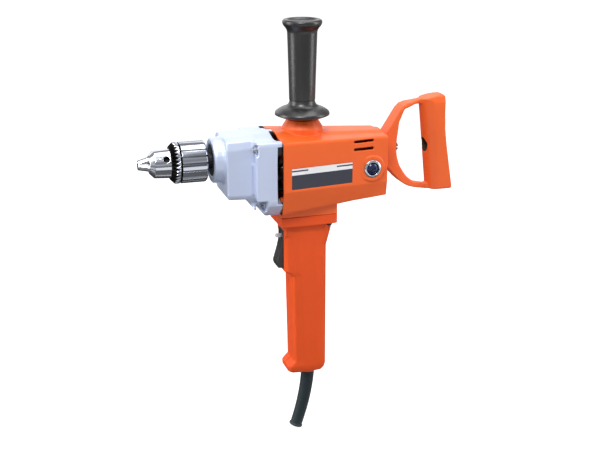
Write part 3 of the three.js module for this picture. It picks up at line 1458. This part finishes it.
// The rubber guard is turned as a straight tube of length 1, and then bent along its path
function makeCordGuard() {
  const topZ = gripBottomZ + gripWall + guardFlangeLength + gap;
  const path = new THREE.QuadraticBezierCurve3(
    new THREE.Vector3(guardX, 0, topZ),
    new THREE.Vector3(guardX, 0, THREE.MathUtils.lerp(topZ, guardEndZ, guardBendShare)),
    new THREE.Vector3(guardEndX, 0, guardEndZ),
  );
  const shareOf = (length) => length / path.getLength();
  const flangeShare = shareOf(guardFlangeLength);
  const rimShare = 1 - shareOf(guardRim);
  const stations = Array.from({ length: guardSteps + 1 }, (_, i) => (
    THREE.MathUtils.lerp(flangeShare, rimShare, i / guardSteps)));
  const outside = stations.map((share) => [
    THREE.MathUtils.lerp(guardTopRadius, guardEndRadius, share), share,
  ]);
  const inside = [1, ...stations.slice().reverse(), 0].map((share) => [guardBore, share]);
  const profile = [
    [guardBore, 0], [guardFlange, 0], [guardFlange, flangeShare], ...outside,
    [guardEndRadius + guardRim, rimShare], [guardEndRadius + guardRim, 1], ...inside,
  ];
  const geometry = new THREE.LatheGeometry(
    profile.map(([radius, share]) => new THREE.Vector2(radius, share)), guardSides);
  const position = geometry.getAttribute('position');
  for (let i = 0; i < position.count; i += 1) {
    const share = THREE.MathUtils.clamp(position.getY(i), 0, 1);
    const at = path.getPointAt(share);
    const { x: forward, z: down } = path.getTangentAt(share);
    const across = position.getX(i);
    position.setXYZ(i, at.x - across * down, position.getZ(i), at.z + across * forward);
  }
  return toSolid(geometry);
}

function addAuxiliaryHandle() {
  const place = [seatX, 0, 0];
  const grip = turned('z', [
    [auxBottomZ, 0],
    [auxBottomZ, auxBellRadius * bellFootShare],
    [auxBellZ - auxEdge, auxBellRadius],
    [auxBellZ + auxEdge, auxBellRadius],
    [auxBellZ + 3 * auxEdge, auxBellRadius * bellShoulderShare],
    [auxBellZ + 6 * auxEdge, auxGripRadius + auxEdge],
    [auxBandZ, auxGripRadius],
    [auxTopZ - auxHeadLength, auxGripTopRadius],
    [auxTopZ - auxFlangeLength, auxFlangeRadius],
    [auxTopZ - auxEdge, auxFlangeRadius],
    [auxTopZ, auxFlangeRadius - auxEdge],
    [auxTopZ, auxGripRadius],
    [auxTopZ - auxEdge, auxGripRadius - auxEdge],
    [auxTopZ - auxEdge, 0],
  ], place);
  piece('auxiliary_handle', cut(grip,
    rod('z', auxBottomZ - overrun, studTopZ + gap, studRadius + gap, place, smallSides)), blackPlastic);
  piece('auxiliary_handle_stud', rod('z', insertBottomZ + gap, studTopZ, studRadius, place, smallSides), toolSteel);
  piece('auxiliary_handle_insert', cut(
    rod('z', insertBottomZ + gap, seatTopZ - gap, insertRadius, place),
    rod('z', insertBottomZ, seatTopZ, studRadius + gap, place, smallSides)), brassMetal);
}

// The rear handle is one loop: two straps run from the root, narrow towards the middle, and end
// in an upright grip bar with a round front, which leans back towards its foot
function makeSpadeHandle() {
  const side = outline([
    [spadeRootX, spadeRootBottomZ],
    [spadeRootX, spadeRootTopZ],
    [spadeKneeX, spadeKneeTopZ, spadeCorner / 2],
    [spadeBackTopX, spadeTopZ, spadeCorner / 4],
    [spadeBackTopX, spadeTopZ / 3, spadeTopZ],
    [spadeBackX, spadeBottomZ, spadeCorner / 4],
    [spadeRootX + spadeWaistReach + spadeCorner, spadeBottomZ, spadeCorner],
    [spadeRootX + spadeHeelReach, spadeHeelZ, spadeCorner],
    [spadeKneeX, spadeKneeBottomZ, spadeCorner / 2],
  ]);
  const leanAt = (z) => spadeLean * (spadeBottomZ - z) / (spadeTopZ - spadeBottomZ);
  const innerX = spadeNoseX + spadeNoseDepth;
  const hollow = outline([
    [spadeHollowX, 0, spadeHollowReach],
    [spadeHollowX + spadeCorner / 2, spadeHollowTopZ, spadeHollowReach],
    [innerX + leanAt(spadeHollowTopZ), spadeHollowTopZ],
    [innerX + leanAt(spadeHollowBottomZ), spadeHollowBottomZ],
    [spadeKneeX + spadeCorner * 4 / 3, spadeHollowBottomZ, spadeHollowReach],
    [spadeHollowX + spadeCorner / 3, -spadeHollowReach * 2 / 3, spadeHollowReach],
  ]);
  const waistX = spadeRootX + spadeWaistReach;
  const plan = symmetricPlan([
    [spadeRootX, spadeHalfRoot],
    [spadeKneeX, spadeHalfRoot, spadeCorner],
    [waistX, spadeHalfArm, spadeCorner],
    [waistX + spadeCorner, spadeHalfArm, spadeCorner],
    [spadeBackX, spadeHalfBar],
  ]);
  const bar = slab('z', spadeBottomZ, spadeTopZ, symmetricPlan([
    [spadeNoseX, spadeHalfBar / 3, spadeCorner / 3],
    [spadeNoseX + spadeNoseDepth / 4, spadeHalfBar * 3 / 4, spadeCorner / 3],
    [spadeNoseX + spadeNoseDepth, spadeHalfBar, spadeCorner / 3],
    [spadeBackX + overrun, spadeHalfBar],
  ]), { reshape: (point) => { point.x += leanAt(point.z); } })
    .intersect(slab('y', -spadeHalfBar, spadeHalfBar, side));
  const frame = cut(
    slab('y', -spadeHalfBar, spadeHalfBar, side).intersect(slab('z', spadeBottomZ, spadeTopZ, plan)),
    slab('y', -spadeHalfBar - overrun, spadeHalfBar + overrun, hollow),
  );
  const ends = slab('x', spadeRootX, spadeBackX, outline([
    [-spadeHalfBar, spadeBottomZ, spadeCorner / 4],
    [spadeHalfBar, spadeBottomZ, spadeCorner / 4],
    [spadeHalfBar, spadeTopZ, spadeCorner * 3 / 4],
    [-spadeHalfBar, spadeTopZ, spadeCorner * 3 / 4],
  ]));
  return cut(join(frame, bar).intersect(ends),
    rod('x', spadeHollowX, spadeBackTopX - spadeBackWall, accessHoleRadius, [0, 0, spadeBoltZ]),
    rod('x', spadeRootX - overrun, spadeHollowX + overrun, spadeBoltRadius + gap, [0, 0, spadeBoltZ], smallSides),
  );
}

function addSpadeHandle() {
  piece('spade_handle', makeSpadeHandle(), orangePlastic);
  piece('spade_handle_bolt', screw('x', spadeHollowX + gap, 1, spadeHollowX - spadeBoltEndX,
    spadeBoltRadius, spadeBoltHead, spadeBoltHeadLength, [0, 0, spadeBoltZ]), toolSteel);
}

addGearRoom();
addSpindle();
addLayShaft();
addChuck();
addArmature();
addField();
piece('motor_housing', makeHousing(), orangePlastic);
addBrushGear();
addGrip();
addTrigger();
piece('cord_guard', makeCordGuard(), darkRubber);
addAuxiliaryHandle();
addSpadeHandle();

// The part's own origin is the middle of its box
const middle = new THREE.Box3().setFromObject(drill).getCenter(new THREE.Vector3());
drill.position.copy(middle).negate();

export default drill;
